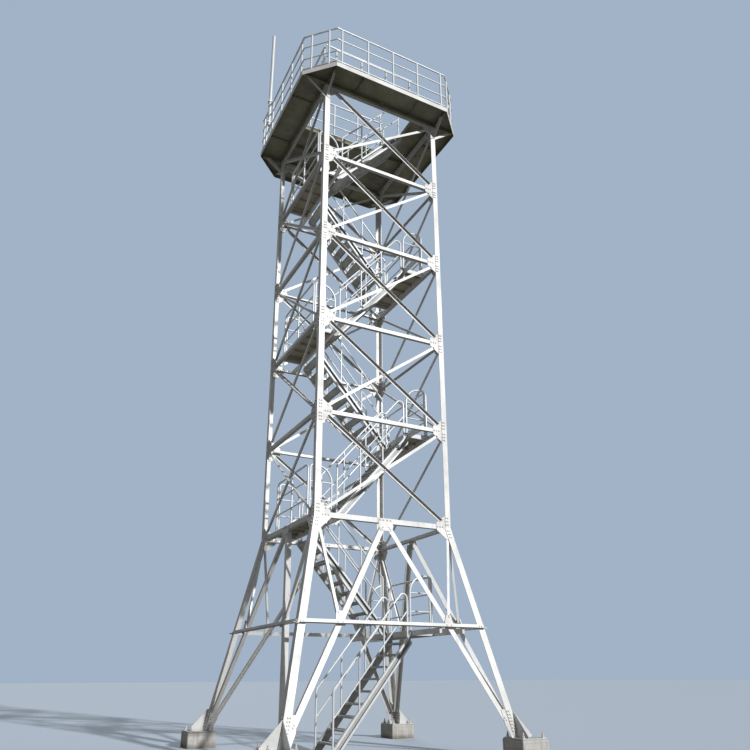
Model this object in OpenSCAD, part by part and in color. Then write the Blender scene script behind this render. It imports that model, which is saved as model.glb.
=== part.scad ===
// Fire lookout tower: a bolted angle-steel shaft on four splayed legs, with an
// open switchback stair inside it and a railed eight-sided deck on top.
// Origin at the centre of the plan at ground level. +X runs along the front
// face from leg B to leg C, the front face looks along -Y, +Z is up.

/* [Overall] */
// Height of the walking surface of the deck above ground
deck_z = 14945; // [14865:20:15105]
// Width of the straight shaft across the outer corners of the legs
shaft_w = 3075; // [2975:10:3245]
// Height of the waist, where the splayed legs meet the straight shaft
waist_z = 4300; // [4250:10:4350]
// Width across the leg corners at the top of the pedestals
foot_w = 4720; // [4500:10:4900]
// Height of one braced panel of the shaft
panel_h = 2130; // [2110:5:2140]

/* [Pedestals and shoes] */
// Height of a concrete pedestal
pedestal_h = 300; // [250:10:350]
// Side of a concrete pedestal
pedestal_w = 600; // [560:10:700]
// How far the pedestal is centred outside the corner of the leg
pedestal_out = 50; // [0:5:80]
// Side of the steel base plate
base_plate_w = 560; // [480:10:580]
// Thickness of the steel base plate
base_plate_t = 25; // [15:1:40]
// Height of the cheek plates of a base shoe
shoe_h = 500; // [400:10:560]
// Length of the fins of a base shoe on the ground plan
fin_l = 310; // [200:10:320]
// Thickness of the fins of a base shoe
shoe_t = 14; // [8:1:18]

/* [Angle bars] */
// Flange width of the lower leg angle
lower_leg_w = 140; // [120:5:150]
// Flange width of the upper leg angle
upper_leg_w = 125; // [100:5:130]
// Thickness of the leg angles
leg_t = 12; // [10:1:14]
// Flange width of the shaft diagonals
diagonal_w = 60; // [52:1:70]
// Thickness of the shaft diagonals
diagonal_t = 5; // [4:1:7]
// Flange width of the shaft horizontals
horizontal_w = 80; // [70:5:90]
// Thickness of the shaft horizontals
horizontal_t = 8; // [5:1:9]
// Flange width of the waist horizontals and of the big lower braces
brace_w = 100; // [80:5:110]
// Thickness of the big lower braces and of the knee braces
brace_t = 8; // [6:1:9]
// Flange width of the slender lower struts
strut_w = 56; // [45:1:65]
// Thickness of the slender lower struts
strut_t = 5; // [4:1:6]
// Length left off the lower end of a big brace, from the top of the pedestal
brace_foot = 345; // [340:5:400]
// Length left off each end of a diagonal, from the middle of the leg flange
diagonal_cut = 205; // [195:5:240]
// Thickness of the gusset plates
gusset_t = 10; // [8:1:12]
// Reach of the corner gussets from the corner of the leg
gusset_reach = 340; // [300:5:380]
// Height of the corner gussets
gusset_h = 500; // [440:10:560]
// Width of the gusset at the middle of the waist
mid_gusset_w = 330; // [280:10:380]
// Height of the ring of horizontals between the splayed legs
ring_z = 2304; // [2240:4:2360]

/* [Stair] */
// Width of a flight over its stringers
flight_w = 880; // [800:10:900]
// Distance of the middle of each lane from the middle of the shaft
lane_y = 480; // [470:5:560]
// Run of a flight in plan
flight_run = 1830; // [1700:10:1900]
// Number of risers in each flight
risers = 10; // [9:1:11]
// Depth of a stringer channel
stringer_d = 150; // [135:5:190]
// Flange width of a stringer channel
stringer_flange = 60; // [40:5:70]
// Web and flange thickness of a stringer channel
stringer_t = 7; // [5:1:9]
// Depth of a tread, front to back
tread_d = 200; // [185:5:230]
// Plate thickness of the folded treads
tread_t = 5; // [4:1:8]
// Height of the folded edges of a tread
tread_lip = 38; // [25:1:50]
// Height of the stair handrail above the stringer
handrail_h = 1020; // [900:10:1150]
// Number of handrail posts on each side of a flight
stair_posts = 4; // [3:1:5]

/* [Landings] */
// Depth of the landing frame channels
landing_frame_h = 100; // [80:5:110]
// Flange width of the landing frame channels
landing_frame_w = 50; // [40:5:60]
// Thickness of the landing floor plate
floor_t = 6; // [5:1:10]
// Width of a landing across the shaft
landing_w = 1860; // [1840:10:2200]
// Height of the guard rails round the landings
landing_guard_h = 1120; // [1000:10:1200]
// Radius of the bent corners of the landing guards
guard_bend = 110; // [60:10:160]

/* [Deck] */
// Distance between opposite sides of the deck
deck_w = 4290; // [4200:10:4450]
// Length cut off each corner of the deck, along the side
deck_cut = 620; // [500:10:700]
// Depth of the deck beams
deck_beam_h = 120; // [100:5:140]
// Flange width of the deck beams
deck_beam_w = 60; // [50:5:70]
// Plate thickness of the deck beams
deck_beam_t = 8; // [6:1:10]
// Drop of the knee braces below the deck frame
knee_h = 330; // [260:10:400]
// Reach of the knee braces outside the legs
knee_reach = 430; // [350:10:500]
// Flange width of the knee braces
knee_w = 60; // [50:5:70]
// Thickness of the deck floor plate
deck_t = 6; // [5:1:10]
// Height of the deck railing
railing_h = 1100; // [1000:10:1200]
// Spacing of the deck railing posts
railing_pitch = 690; // [650:2:700]
// Spacing of the two posts on each cut corner of the deck
corner_pitch = 450; // [350:10:550]
// Height of the lowest rail of the deck railing
toe_rail_z = 60; // [50:5:100]
// Length of the lightning mast
mast_l = 3150; // [2400:50:3300]
// Diameter of the lightning mast
mast_d = 88; // [60:1:96]
// Place of the lightning mast along the left side of the deck
mast_y = 770; // [720:10:1300]

/* [Tubes] */
// Diameter of the railing posts
post_d = 48; // [47:1:52]
// Diameter of the posts of the stair handrails
stair_post_d = 36; // [34:1:37]
// Diameter of the top rails
rail_d = 42; // [38:1:46]
// Diameter of the middle rails
mid_rail_d = 30; // [24:1:32]

/* [Hidden] */
$fn = 48;

steel = "gainsboro";
dark_steel = "dimgray";
half = shaft_w/2;
foot = foot_w/2;
panels = 5;
plate_z = pedestal_h + base_plate_t;
// Batter of the lower faces, and the length factor along them
batter = (foot - half)/(waist_z - pedestal_h);
slant = sqrt(1 + batter*batter);
half_at = function(z) half + batter*max(0, waist_z - z);
// Point of the front face, and its outward normals above and below the waist
face = function(x, z) [x, -half_at(z), z];
upright = [0, -1, 0];
leaning = [0, -1, batter]/slant;
// Depth of the bars behind the gussets, below the outer face of the leg flanges
inner_in = leg_t + gusset_t;
// Distance of a gusset from the corner of its leg, clear of the other flange
gusset_clear = leg_t + 22;
deck_frame_z = deck_z - deck_t - deck_beam_h;
// Levels of the horizontals, from the waist to the chord under the deck
level = [for (k = [0 : panels]) k < panels ? waist_z + k*panel_h : deck_frame_z - horizontal_w/2];
landing_rise = landing_frame_h + floor_t - horizontal_w/2 + horizontal_t;
ring_seat = ring_z - horizontal_w/2/slant;
// Walking levels from the ground to the deck
floors = concat([0, ring_seat + floor_t], [for (k = [0 : panels - 1]) level[k] + landing_rise], [deck_z]);
landing_edge = flight_run/2;
// Outer edge of the landing frames, and the line of their outer guards
landing_outer = half - inner_in - 33;
guard_line = half - inner_in - diagonal_w - 32;
guard_d = post_d - 6;
deck_half = deck_w/2;
deck_flat = deck_half - deck_cut;
railing_in = post_d/2 + 6;
// The stair opening of the deck, which the last flight reaches at its +X end
beam_line = half - inner_in;
hatch_x0 = -beam_line + deck_beam_t;
hatch_x1 = landing_edge;
hatch_y0 = -beam_line + deck_beam_t;
hatch_y1 = -lane_y + flight_w/2 + 60;
// Depths below the waist to which the upper half of a bent gusset runs, and at which its lower half begins
gusset_lap = 14;
bend_drop = 3;
// How much narrower the lower half of the middle gusset is, at each side
mid_draw_in = 6;
// Places along the hatch guard, and of the seam behind the stair opening
hatch_post_x = 280;
seam_y = (hatch_y1 + beam_line)/2;
// Depth of the foot of a stair post in its stringer, and how far the rails pass the end posts
post_root = 40;
rail_over = 55;
// Gaps at the ends of the deck beams and of the rails, and between the deck sheets
weld_gap = 2;
frame_end = 28;
seam_w = 5;

// Unit vector, and a frame whose x runs across the bar, y along n and z along the bar
function unit(v) = v/norm(v);
module place_bar(p, q, n) {
    u = unit(q - p);
    across = unit(cross(n, u));
    out = cross(u, across);
    multmatrix([[across[0], out[0], u[0], p[0]],
                [across[1], out[1], u[1], p[1]],
                [across[2], out[2], u[2], p[2]],
                [0, 0, 0, 1]])
        children();
}

// Angle section: flat flange with its outer face on y = 0, the free flange on the edge at side*w/2
module angle_section(w, t, side, out) {
    translate([-w/2, -t])
        square([w, t]);
    translate([side > 0 ? w/2 - t : -w/2, out > 0 ? -t : -w])
        square([t, w]);
}

// Angle bar from p to q in a face with outward normal n, its outer face sunk by depth;
// out = 1 turns the free flange outwards, side picks the edge that carries it
module angle_bar(p, q, n, w, t, depth, side = 1, out = -1) {
    place_bar(p - depth*n, q - depth*n, n)
        linear_extrude(norm(q - p))
            angle_section(w, t, side, out);
}

// Plate t thick in the front face, sunk by depth: its outline is drawn with x along the face
// and y up the face from the height z
module face_plate(z, t, depth, lean = 0) {
    s = sqrt(1 + lean*lean);
    multmatrix([[1, 0, 0, 0],
                [0, lean/s, -1/s, -half_at(z)],
                [0, 1/s, lean/s, z],
                [0, 0, 0, 1]])
        translate([0, 0, -depth - t])
            linear_extrude(t)
                children();
}

// A child made for the front face or leg B, repeated on face or leg i
module turned(i) {
    rotate([0, 0, 90*i])
        children();
}

// The same child on both sides of the middle of a face
module both_ends() {
    for (m = [0, 1])
        mirror([m, 0, 0])
            children();
}

// The same child on the front face and on the left face of leg B
module both_flanges() {
    for (m = [0, 1])
        mirror([m, -m, 0])
            children();
}

// Pedestals and base shoes
module pedestals() {
    color("lightgray")
        for (i = [0 : 3])
            turned(i)
                translate([-foot - pedestal_out - pedestal_w/2, -foot - pedestal_out - pedestal_w/2, 0])
                    cube([pedestal_w, pedestal_w, pedestal_h]);
}

module base_shoe() {
    corner = half_at(plate_z);
    plate_edge = -foot - pedestal_out - base_plate_w/2;
    translate([plate_edge, plate_edge, pedestal_h])
        cube([base_plate_w, base_plate_w, base_plate_t]);
    both_flanges() {
        face_plate(plate_z, gusset_t, leg_t, batter)
            translate([-corner, 0])
                cheek_outline();
        translate([-corner + lower_leg_w/2, -corner, plate_z])
            shoe_fin();
    }
}

// Upright plate behind a flange of the leg, wide enough at its top to take the brace
module cheek_outline() {
    shift = batter/slant*shoe_h;
    sunk = 4;
    polygon([[gusset_clear, -sunk], [lower_leg_w + 50, -sunk], [lower_leg_w + 150, shoe_h*0.45],
        [lower_leg_w + shift + 90, shoe_h], [gusset_clear + shift, shoe_h]]);
}

// Triangular fin on the outer face of a flange of the leg
module shoe_fin() {
    top = shoe_h*0.85;
    rotate([90, 0, 90])
        translate([0, 0, -shoe_t/2])
            linear_extrude(shoe_t)
                polygon([[-fin_l, 0], [0, 0], [batter*top, top], [batter*top - 25, top], [-fin_l, 30]]);
}

module base_shoes() {
    color(steel)
        for (i = [0 : 3])
            turned(i)
                base_shoe();
}

// Legs: angles with their corners outwards, drawn for leg B
module leg_section(w, t) {
    polygon([[0, 0], [w, 0], [w, t], [t, t], [t, w], [0, w]]);
}

module lower_leg(i) {
    corner = half_at(plate_z);
    color(steel)
        turned(i)
            multmatrix([[1, 0, batter, -corner],
                        [0, 1, batter, -corner],
                        [0, 0, 1, plate_z],
                        [0, 0, 0, 1]])
                linear_extrude(waist_z - plate_z)
                    leg_section(lower_leg_w, leg_t*slant);
}

module upper_leg(i) {
    color(steel)
        turned(i)
            translate([-half, -half, waist_z])
                linear_extrude(deck_frame_z - waist_z)
                    leg_section(upper_leg_w, leg_t);
}

// Bracing of one face, drawn for the front face
module bracing(i) {
    color(steel)
        turned(i) {
            horizontals();
            crossed_diagonals();
            lower_bracing();
        }
}

module horizontals() {
    s = half - upper_leg_w - 25;
    for (k = [0 : panels]) {
        w = k == 0 ? brace_w : horizontal_w;
        z = k == 0 ? level[0] - horizontal_w/2 + brace_w/2 : level[k];
        angle_bar(face(-s, z), face(s, z), upright, w, horizontal_t, inner_in, k == panels ? 1 : -1);
    }
}

// Each panel has a diagonal behind the gussets and one in front of them, with their free flanges uppermost
module crossed_diagonals() {
    s = half - upper_leg_w/2;
    for (k = [0 : panels - 1]) {
        rising = unit(face(s, level[k + 1]) - face(-s, level[k]))*diagonal_cut;
        angle_bar(face(-s, level[k]) + rising, face(s, level[k + 1]) - rising, upright,
            diagonal_w, diagonal_t, inner_in);
        falling = unit(face(s, level[k]) - face(-s, level[k + 1]))*diagonal_cut;
        angle_bar(face(-s, level[k + 1]) + falling, face(s, level[k]) - falling, upright,
            diagonal_w, diagonal_t, leg_t - diagonal_t, 1, 1);
    }
}

// Big inverted V, ring bar and slender struts of one lower face
module lower_bracing() {
    top = face(0, waist_z);
    foot_end = face(-foot + lower_leg_w/2, pedestal_h);
    run = unit(foot_end - top);
    reach = norm(foot_end - top);
    crossing = top + run*reach*(waist_z - ring_z)/(waist_z - pedestal_h);
    corner = face(-half + upper_leg_w/2, waist_z);
    along = unit(crossing - corner);
    both_ends() {
        angle_bar(top + run*brace_w*1.15, top + run*(reach - brace_foot), leaning,
            brace_w, brace_t, inner_in, -1);
        angle_bar(corner + along*150, crossing - along*140, leaning, strut_w, strut_t, inner_in, -1);
    }
    s = half_at(ring_z) - 5;
    angle_bar(face(-s, ring_z), face(s, ring_z), leaning, horizontal_w, horizontal_t, -horizontal_t, -1, 1);
}

// Gusset plates of one face, drawn for the front face
module face_gussets() {
    both_ends()
        for (k = [0 : panels])
            face_plate(level[k], gusset_t, leg_t)
                translate([-half, 0])
                    corner_outline(k == 0 ? -gusset_lap : -gusset_h/2,
                        k == panels ? horizontal_w/2 : gusset_h/2);
    // Below the waist the corner gussets and the middle gusset bend with the face
    both_ends()
        face_plate(waist_z, gusset_t, leg_t, batter)
            translate([-half, 0])
                bent_outline();
    mid = mid_gusset_w/2;
    face_plate(waist_z, gusset_t, leg_t)
        translate([-mid, -gusset_lap])
            square([2*mid, brace_w - horizontal_w/2 + gusset_lap]);
    low = mid - mid_draw_in;
    face_plate(waist_z, gusset_t, leg_t, batter)
        polygon([[-low, -bend_drop], [low, -bend_drop], [low, -100], [low - 24, -200], [24 - low, -200],
            [-low, -100]]);
    // Packing plates between the ring bar and the big braces
    crossing_x = (foot - lower_leg_w/2)*(waist_z - ring_z)/(waist_z - pedestal_h);
    both_ends()
        face_plate(ring_z, inner_in, 0, batter)
            translate([-crossing_x, 0])
                polygon([[-90, -60], [90, -60], [90, 60], [40, 200], [-70, 200], [-90, 60]]);
}

// Outline of a corner gusset from the corner of the leg, between the heights z0 and z1
module corner_outline(z0, z1) {
    waist = 90;
    polygon([[gusset_clear, z0], [z0 < -waist ? upper_leg_w : gusset_reach, z0],
        [gusset_reach, max(z0 + 1, -waist)], [gusset_reach, min(z1 - 1, waist)],
        [z1 > waist ? upper_leg_w : gusset_reach, z1], [gusset_clear, z1]]);
}

module bent_outline() {
    deep = gusset_h/2;
    shift = batter/slant*deep;
    polygon([[gusset_clear, -bend_drop], [gusset_reach, -bend_drop], [gusset_reach, -60],
        [lower_leg_w + 50 - shift, -deep], [gusset_clear - shift, -deep]]);
}

module gusset_plates() {
    color(steel)
        for (i = [0 : 3])
            turned(i)
                face_gussets();
}

// Landings: two bearers across the shaft and a floor plate
module landing(n) {
    z = floors[n];
    seat = z - floor_t;
    color(dark_steel)
        mirror([n % 2 == 1 ? 0 : 1, 0, 0]) {
            for (x = [landing_edge, landing_outer - landing_frame_w])
                translate([x, 0, 0])
                    rotate([90, 0, 90])
                        linear_extrude(landing_frame_w)
                            bearer_outline(n, seat);
            translate([landing_edge, -landing_w/2, seat])
                cube([landing_outer - landing_edge, landing_w, floor_t]);
        }
}

// Side view of a bearer; those of the first landing rise behind the ring bar at their ends
module bearer_outline(n, seat) {
    if (n == 1) {
        end = half_at(seat);
        rise_end = half_at(ring_z);
        post = 60;
        polygon([[-end, seat - landing_frame_h], [end, seat - landing_frame_h], [end, seat],
            [rise_end, ring_z], [rise_end - post, ring_z], [rise_end - post, seat],
            [post - rise_end, seat], [post - rise_end, ring_z], [-rise_end, ring_z], [-end, seat]]);
    }
    else {
        end = half - inner_in - horizontal_t;
        translate([-end, seat - landing_frame_h])
            square([2*end, landing_frame_h]);
    }
}

// Guard panel along +X between two posts, with bent upper corners
module guard_panel(length, height) {
    for (x = [0, length])
        translate([x, 0, 0])
            cylinder(d = guard_d, h = height - guard_bend);
    translate([guard_bend, 0, height])
        rotate([0, 90, 0])
            cylinder(d = guard_d, h = length - 2*guard_bend);
    for (m = [0, 1])
        translate([m*length, 0, 0])
            mirror([m, 0, 0])
                translate([guard_bend, 0, height - guard_bend])
                    rotate([90, 0, 0])
                        rotate([0, 0, 90])
                            rotate_extrude(angle = 90)
                                translate([guard_bend, 0])
                                    circle(d = guard_d);
    for (share = [1, 2])
        translate([0, 0, height*share/3])
            rotate([0, 90, 0])
                cylinder(d = mid_rail_d, h = length);
}

module landing_guards() {
    inner = landing_edge + guard_d;
    side_y = landing_w/2 - guard_d;
    color(steel)
        for (n = [1 : 6])
            mirror([n % 2 == 1 ? 0 : 1, 0, 0]) {
                for (y = [-side_y, side_y])
                    translate([inner, y, floors[n]])
                        guard_panel(guard_line - inner - guard_d - 5, landing_guard_h);
                translate([guard_line, -side_y, floors[n]])
                    rotate([0, 0, 90])
                        guard_panel(2*side_y, landing_guard_h);
            }
}

// Flights: odd ones rise along +X in the front lane, even ones along -X in the rear lane
module in_lane(n) {
    if (n % 2 == 1)
        translate([0, -lane_y, 0])
            children();
    else
        mirror([1, 0, 0])
            translate([0, lane_y, 0])
                children();
}

// One side frame of flight n, its web on y = 0 with the flanges towards +Y
module side_frame(n) {
    z0 = floors[n - 1];
    slope = (floors[n] - z0)/flight_run;
    secant = sqrt(1 + slope*slope);
    deep = stringer_d*secant;
    flange = stringer_t*secant;
    // Drop of the top of the stringer below the line of the tread noses
    drop = tread_d/2*slope + tread_lip/2 - deep/2;
    below = function(x, d) [x, z0 + (x + landing_edge)*slope - d];
    lowest = n == 1 ? 0 : z0 - floor_t - landing_frame_h;
    translate([0, stringer_t, 0])
        stringer_strip(stringer_t, drop, drop + deep, z0, slope, lowest);
    for (d = [drop, drop + deep - flange])
        translate([0, stringer_flange, 0])
            stringer_strip(stringer_flange, d, d + flange, z0, slope, lowest);
    post_y = stringer_flange/2;
    post_x = [for (k = [0 : stair_posts - 1]) -landing_edge + 130 + k*(flight_run - 220)/(stair_posts - 1)];
    for (x = post_x)
        translate([x, post_y, below(x, drop + post_root)[1]])
            cylinder(d = stair_post_d, h = handrail_h + post_root);
    ends = [post_x[0] - rail_over/secant, post_x[stair_posts - 1] + rail_over/secant];
    for (h = [handrail_h/2, handrail_h])
        rail_between([ends[0], post_y, below(ends[0], drop - h)[1]],
            [ends[1], post_y, below(ends[1], drop - h)[1]],
            h == handrail_h ? rail_d : mid_rail_d);
}

// Sloping strip between the drops a and b below the line of the noses, cut off at its ends
module stringer_strip(w, a, b, z0, slope, lowest) {
    z = function(x) z0 + (x + landing_edge)*slope;
    rotate([90, 0, 0])
        linear_extrude(w)
            intersection() {
                polygon([[-landing_edge, z(-landing_edge) - a], [landing_edge, z(landing_edge) - a],
                    [landing_edge, z(landing_edge) - b], [-landing_edge, z(-landing_edge) - b]]);
                translate([-landing_edge, lowest])
                    square([flight_run, z(landing_edge)]);
            }
}

module rail_between(p, q, d) {
    place_bar(p, q, [0, 1, 0])
        cylinder(d = d, h = norm(q - p));
}

module flight(n) {
    color(steel)
        in_lane(n)
            for (m = [0, 1])
                mirror([0, m, 0])
                    translate([0, flight_w/2 - stringer_flange, 0])
                        side_frame(n);
}

module treads(n) {
    rise = (floors[n] - floors[n - 1])/risers;
    going = flight_run/risers;
    long = flight_w - 2*stringer_flange;
    color(dark_steel)
        in_lane(n)
            for (k = [1 : risers - 1])
                translate([-landing_edge + k*going, long/2, floors[n - 1] + k*rise])
                    rotate([90, 0, 0])
                        linear_extrude(long)
                            tread_outline();
}

// Folded tread seen from its end
module tread_outline() {
    difference() {
        translate([0, -tread_lip])
            square([tread_d, tread_lip]);
        translate([tread_t, -tread_lip - 1])
            square([tread_d - 2*tread_t, tread_lip - tread_t + 1]);
    }
}

module deck_outline() {
    h = deck_half;
    k = deck_flat;
    polygon([[-h, k], [-h, -k], [-k, -h], [k, -h], [h, -k], [h, k], [k, h], [-k, h]]);
}

// Deck frame: separate beams over the top horizontals, trimmers of the stair opening, fascia plates
module deck_frame() {
    // The beams end short of the edge plates of the cut corners too
    corner_end = deck_half + deck_flat - beam_line - deck_beam_w;
    long = 2*(min(deck_half - deck_beam_t, corner_end) - frame_end);
    between = 2*(beam_line - deck_beam_t - weld_gap);
    color(dark_steel)
        translate([0, 0, deck_frame_z]) {
            for (m = [0, 1])
                mirror([0, m, 0])
                    deck_beam(long);
            for (i = [1, 3])
                turned(i)
                    deck_beam(between);
            for (i = [0, 2])
                for (x = [beam_line - deck_beam_t, -beam_line])
                    turned(i)
                        translate([x, 0, 0])
                            beam_end(long/2);
            for (y = [hatch_y1, seam_y - deck_beam_t/2])
                translate([-between/2, y, 0])
                    cube([between, deck_beam_t, deck_beam_h]);
            translate([hatch_x1, hatch_y0 + weld_gap, 0])
                cube([deck_beam_t, hatch_y1 - hatch_y0 - 2*weld_gap, deck_beam_h]);
            for (i = [0 : 3])
                turned(i)
                    fascia_plates();
        }
}

// Beam along X over the front horizontal, its lower flange outwards over the legs
module deck_beam(long) {
    translate([-long/2, -beam_line, 0])
        cube([long, deck_beam_t, deck_beam_h]);
    translate([-long/2, -beam_line + deck_beam_t - deck_beam_w, 0])
        cube([long, deck_beam_w, deck_beam_t]);
}

// Outer end of a beam along Y, notched over the lower flange of the front beam
module beam_end(reach) {
    notch = beam_line - deck_beam_t + deck_beam_w + weld_gap;
    rise = deck_beam_t + weld_gap;
    rotate([90, 0, 90])
        linear_extrude(deck_beam_t)
            polygon([[-reach, 0], [-notch, 0], [-notch, rise], [-beam_line - weld_gap, rise],
                [-beam_line - weld_gap, deck_beam_h], [-reach, deck_beam_h]]);
}

// Edge plates of the front side and of the cut corner after it
module fascia_plates() {
    cut_l = deck_cut*sqrt(2);
    translate([-deck_flat + weld_gap, -deck_half, 0])
        cube([2*(deck_flat - weld_gap), deck_beam_t, deck_beam_h]);
    rotate([0, 0, 45])
        translate([-cut_l/2 + weld_gap + deck_beam_t/2, -(deck_half + deck_flat)/sqrt(2), 0])
            cube([cut_l - 2*weld_gap - deck_beam_t, deck_beam_t, deck_beam_h]);
}

// Knee braces from the outer faces of the legs, cut off level under the deck
module knee_braces() {
    y = -half + 20;
    low = [-half + knee_w, y, deck_frame_z - knee_h - knee_w*knee_h/knee_reach];
    high = [-half - knee_reach - knee_w, y, deck_frame_z + knee_w*knee_h/knee_reach];
    color(steel)
        for (i = [0 : 3])
            turned(i)
                both_flanges()
                    intersection() {
                        angle_bar(low, high, upright, knee_w, brace_t, 0, -1);
                        translate([-3*half, -2*half, 0])
                            cube([2*half, 2*half, deck_frame_z]);
                    }
}

// Deck floor: sheets round the stair opening, with open seams between them
module deck_plate() {
    rows = [[-deck_half, hatch_y0, [-deck_half, 0, deck_half]],
        [hatch_y0, hatch_y1, [-deck_half, hatch_x0]],
        [hatch_y0, hatch_y1, [hatch_x1, deck_half]],
        [hatch_y1, seam_y, [-deck_half, 0, deck_half]],
        [seam_y, deck_half, [-deck_half, 0, deck_half]]];
    color("slategray")
        translate([0, 0, deck_z - deck_t])
            linear_extrude(deck_t)
                for (row = rows)
                    for (k = [0 : len(row[2]) - 2])
                        deck_sheet(row[2][k], row[2][k + 1], row[0], row[1]);
}

module deck_sheet(x0, x1, y0, y1) {
    intersection() {
        deck_outline();
        translate([x0 + seam_w/2, y0 + seam_w/2])
            square([x1 - x0 - seam_w, y1 - y0 - seam_w]);
    }
}

// Railing panel along X from x0 to x1 on the deck, with posts at the given places
module railing_panel(x0, x1, posts) {
    for (x = posts)
        translate([x, 0, deck_z])
            cylinder(d = post_d, h = railing_h - rail_d/2);
    for (z = [toe_rail_z, railing_h/3, railing_h*2/3, railing_h - rail_d/2])
        translate([x0, 0, deck_z + z])
            rotate([0, 90, 0])
                cylinder(d = z > railing_h*3/4 ? rail_d : mid_rail_d, h = x1 - x0);
}

// Railing of one side of the deck and of the cut corner after it, drawn for the front
module deck_railing(i) {
    h = deck_half - railing_in;
    k = deck_flat - railing_in*(sqrt(2) - 1);
    bend = rail_d/4 + weld_gap;
    corner_l = (h - k)*sqrt(2) - 2*bend;
    color(steel)
        turned(i) {
            translate([0, -h, 0])
                railing_panel(bend - k, k - bend, [for (j = [-2 : 2]) j*railing_pitch]);
            rotate([0, 0, 45])
                translate([0, -(h + k)/sqrt(2), 0])
                    railing_panel(-corner_l/2, corner_l/2, [-corner_pitch/2, corner_pitch/2]);
        }
}

// Guard panels at the front, the far end and the rear of the stair opening
module hatch_guard() {
    x0 = hatch_x0 - deck_beam_t - post_d;
    y0 = hatch_y0 - deck_beam_t - post_d;
    long = hatch_x1 - post_d - x0;
    wide = hatch_y1 + deck_beam_t + post_d - y0;
    posts = [for (k = [0 : 3]) hatch_post_x + k*railing_pitch];
    color(steel) {
        for (y = [y0, y0 + wide])
            translate([x0, y, 0])
                railing_panel(0, long, posts);
        translate([x0, y0, 0])
            rotate([0, 0, 90])
                railing_panel(post_d, wide - post_d, [2*post_d, wide - 2*post_d]);
    }
}

// Mast on the outside of the left railing, held by clamps on two of its rails
module lightning_mast() {
    rail_x = -deck_half + railing_in;
    x = rail_x - rail_d/2 - mast_d/2 - 8;
    rails = [railing_h/3, railing_h - rail_d/2];
    color(steel) {
        translate([x, mast_y, deck_z + rails[0] - mast_d])
            cylinder(d = mast_d, h = mast_l);
        for (z = rails)
            difference() {
                translate([x - mast_d/2 - 12, mast_y - mast_d/2 - 12, deck_z + z - 20])
                    cube([rail_x - x + mast_d/2 + 12, mast_d + 24, 40]);
                translate([rail_x, mast_y, deck_z + z])
                    rotate([90, 0, 0])
                        cylinder(d = z > railing_h/2 ? rail_d : mid_rail_d, h = 2*mast_d, center = true);
            }
    }
}

pedestals();
base_shoes();
lower_leg(3);  // lower_leg_a
lower_leg(0);  // lower_leg_b
lower_leg(1);  // lower_leg_c
lower_leg(2);  // lower_leg_d
upper_leg(3);  // upper_leg_a
upper_leg(0);  // upper_leg_b
upper_leg(1);  // upper_leg_c
upper_leg(2);  // upper_leg_d
bracing(0);  // bracing_front
bracing(1);  // bracing_right
bracing(2);  // bracing_back
bracing(3);  // bracing_left
gusset_plates();
landing(1);  // landing_1
landing(2);  // landing_2
landing(3);  // landing_3
landing(4);  // landing_4
landing(5);  // landing_5
landing(6);  // landing_6
landing_guards();
flight(1);  // flight_1
flight(2);  // flight_2
flight(3);  // flight_3
flight(4);  // flight_4
flight(5);  // flight_5
flight(6);  // flight_6
flight(7);  // flight_7
treads(1);  // treads_1
treads(2);  // treads_2
treads(3);  // treads_3
treads(4);  // treads_4
treads(5);  // treads_5
treads(6);  // treads_6
treads(7);  // treads_7
deck_frame();
knee_braces();
deck_plate();
deck_railing(0);  // railing_front
deck_railing(1);  // railing_right
deck_railing(2);  // railing_back
deck_railing(3);  // railing_left
hatch_guard();
lightning_mast();
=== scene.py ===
# Fire lookout tower: finishes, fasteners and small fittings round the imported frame.
import math

import bpy
from mathutils import Matrix, Vector


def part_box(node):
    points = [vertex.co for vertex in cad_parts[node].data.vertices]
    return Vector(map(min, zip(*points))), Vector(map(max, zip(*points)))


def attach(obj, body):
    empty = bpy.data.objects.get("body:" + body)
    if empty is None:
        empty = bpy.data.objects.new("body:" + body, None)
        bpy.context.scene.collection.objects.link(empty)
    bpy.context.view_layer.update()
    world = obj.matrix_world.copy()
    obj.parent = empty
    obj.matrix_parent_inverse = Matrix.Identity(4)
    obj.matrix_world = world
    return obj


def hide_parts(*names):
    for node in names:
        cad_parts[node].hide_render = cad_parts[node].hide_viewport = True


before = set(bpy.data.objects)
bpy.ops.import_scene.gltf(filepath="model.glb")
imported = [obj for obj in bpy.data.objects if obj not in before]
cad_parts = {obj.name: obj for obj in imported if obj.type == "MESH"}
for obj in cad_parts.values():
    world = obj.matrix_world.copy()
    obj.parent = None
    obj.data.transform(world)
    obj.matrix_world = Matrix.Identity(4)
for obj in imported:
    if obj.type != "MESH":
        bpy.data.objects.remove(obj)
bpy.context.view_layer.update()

# Main sizes of the tower, in metres
SHAFT_W = 3.075
FOOT_W = 4.720
WAIST_Z = 4.300
PANEL_H = 2.130
PANELS = 5
RING_Z = 2.304
DECK_Z = 14.945
DECK_W = 4.290
DECK_CUT = 0.620
PEDESTAL_H = 0.300
PEDESTAL_W = 0.600
PEDESTAL_OUT = 0.050
BASE_PLATE_W = 0.560
BASE_PLATE_T = 0.025

# Bars and plates: flange widths and thicknesses
LOWER_LEG_W = 0.140
UPPER_LEG_W = 0.125
LEG_T = 0.012
GUSSET_T = 0.010
HORIZONTAL_W = 0.080
HORIZONTAL_T = 0.008
BRACE_T = 0.008
BRACE_FOOT = 0.345
DIAGONAL_T = 0.005
STRUT_T = 0.005

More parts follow.
